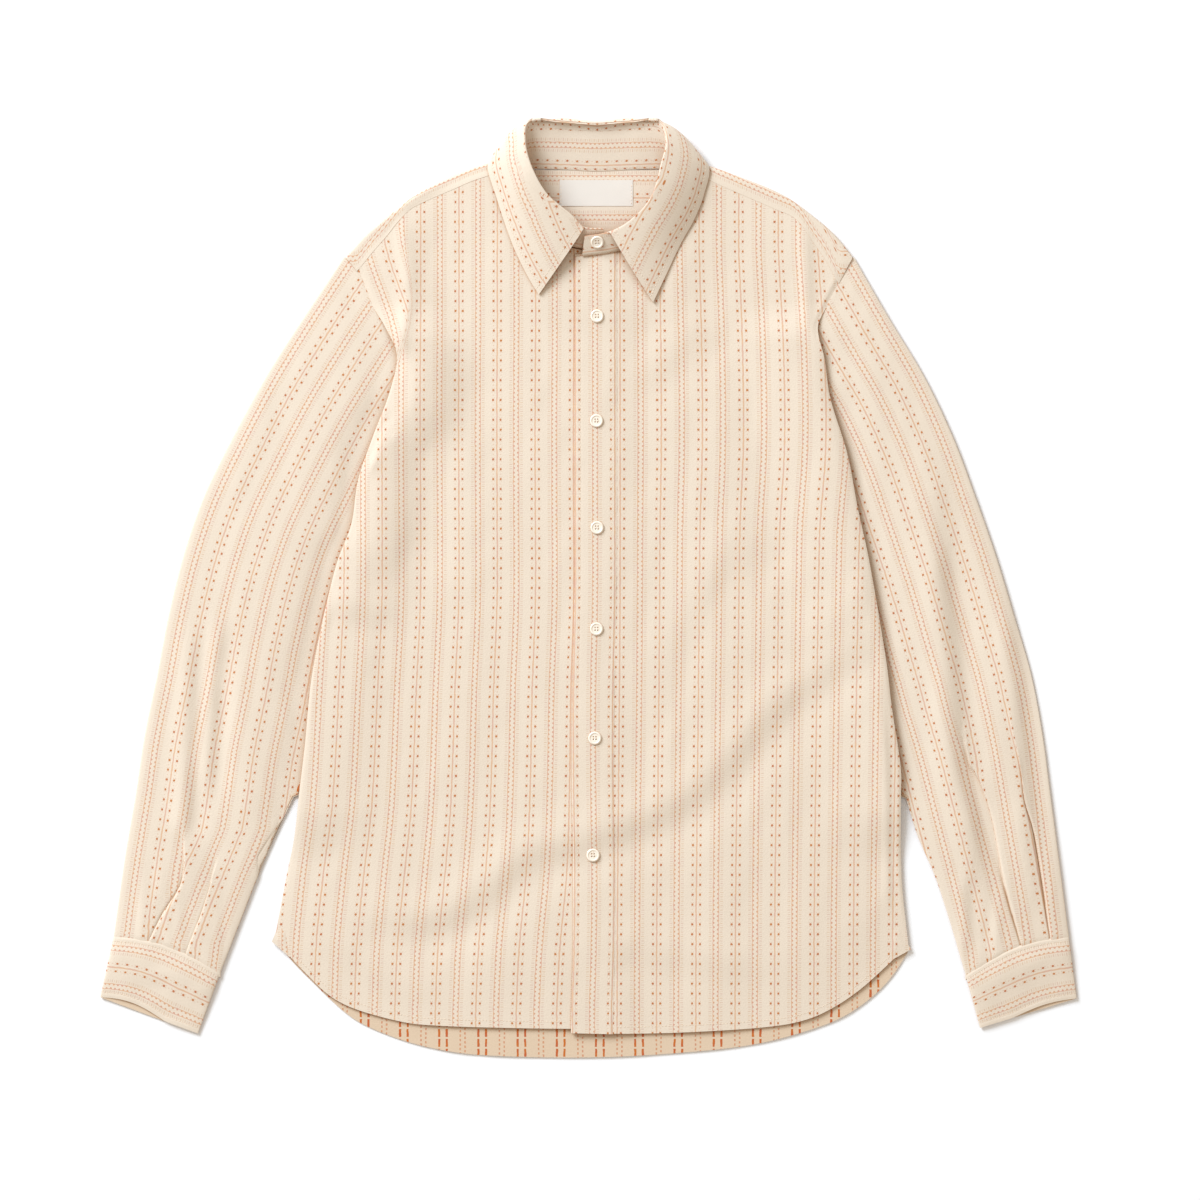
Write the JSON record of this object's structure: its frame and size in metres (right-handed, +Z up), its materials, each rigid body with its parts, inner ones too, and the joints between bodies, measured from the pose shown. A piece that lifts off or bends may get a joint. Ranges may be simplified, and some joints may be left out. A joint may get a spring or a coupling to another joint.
{
  "type": "striped shirt",
  "caption": "Long-sleeved striped shirt with a folded collar, front placket and curved hem, buttoned up and laid flat on its back with the sleeves beside the body.",
  "frame": {"origin": "on the surface the shirt lies on, under the middle of its outline", "axes": "+X across the chest to the side of the buttoned-over front, +Y towards the collar, +Z up from the surface"},
  "size_m": [0.859, 0.8258, 0.0354],
  "materials": {
    "shirting": "soft cream cotton shirting with woven terracotta stripes, matt",
    "label": "bare woven satin tape, low sheen",
    "button": "pearly cream shell, polished"
  },
  "bodies": {
    "root": {"back": "shirting", "yoke": "shirting", "front_left": "shirting", "front_right": "shirting", "placket": "shirting", "sleeve_left": "shirting", "sleeve_right": "shirting", "cuff_left": "shirting", "cuff_right": "shirting", "collar_stand": "shirting", "collar_leaf": "shirting", "gusset_left": "shirting", "gusset_right": "shirting", "neck_label": "label", "button_collar": "button", "button_front_1": "button", "button_front_2": "button", "button_front_3": "button", "button_front_4": "button", "button_front_5": "button", "button_front_6": "button"}
  },
  "joints": []
}
